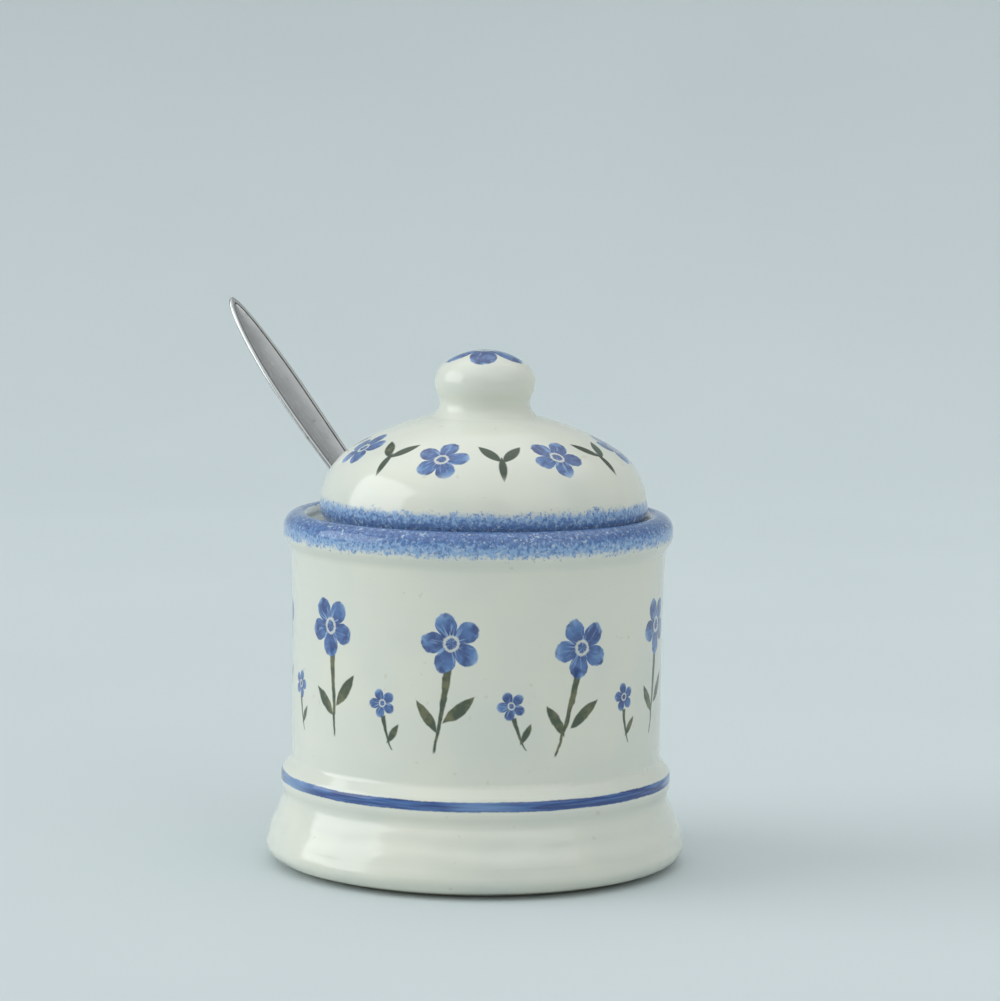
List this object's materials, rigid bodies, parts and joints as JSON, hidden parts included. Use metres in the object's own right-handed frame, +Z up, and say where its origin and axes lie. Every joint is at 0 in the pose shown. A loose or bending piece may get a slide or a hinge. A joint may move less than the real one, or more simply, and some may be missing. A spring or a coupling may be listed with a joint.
{
  "type": "jam pot",
  "caption": "Round glazed pottery jam pot with spreading foot, rolled rim, domed lift-off lid with knob and spoon notch, and a steel spoon that stands in the pot through the notch.",
  "frame": {"origin": "centre of the pot's foot ring, on the table", "axes": "+Z up along the pot's axis, +X to the right in the picture, -Y toward the picture's camera; the spoon leans out between -X and +Y"},
  "size_m": [0.1047, 0.0924, 0.1218],
  "materials": {
    "pot_glaze": "glossy cream glaze with blue sponged rim, blue line and painted flowers",
    "lid_glaze": "glossy cream glaze with blue sponged edge and painted flowers",
    "spoon_steel": "polished stainless steel"
  },
  "bodies": {
    "pot": {"pot_body": "pot_glaze"},
    "lid": {"lid": "lid_glaze"},
    "spoon": {"spoon": "spoon_steel"}
  },
  "joints": [
    {"name": "lid_lift", "type": "slide", "parent": "pot", "child": "lid", "axis": [0, 0, 1], "range_m": [0, 0.06]},
    {"name": "spoon_pull", "type": "slide", "parent": "pot", "child": "spoon", "axis": [-0.5566, 0.4225, 0.7154], "range_m": [0, 0.035]}
  ]
}
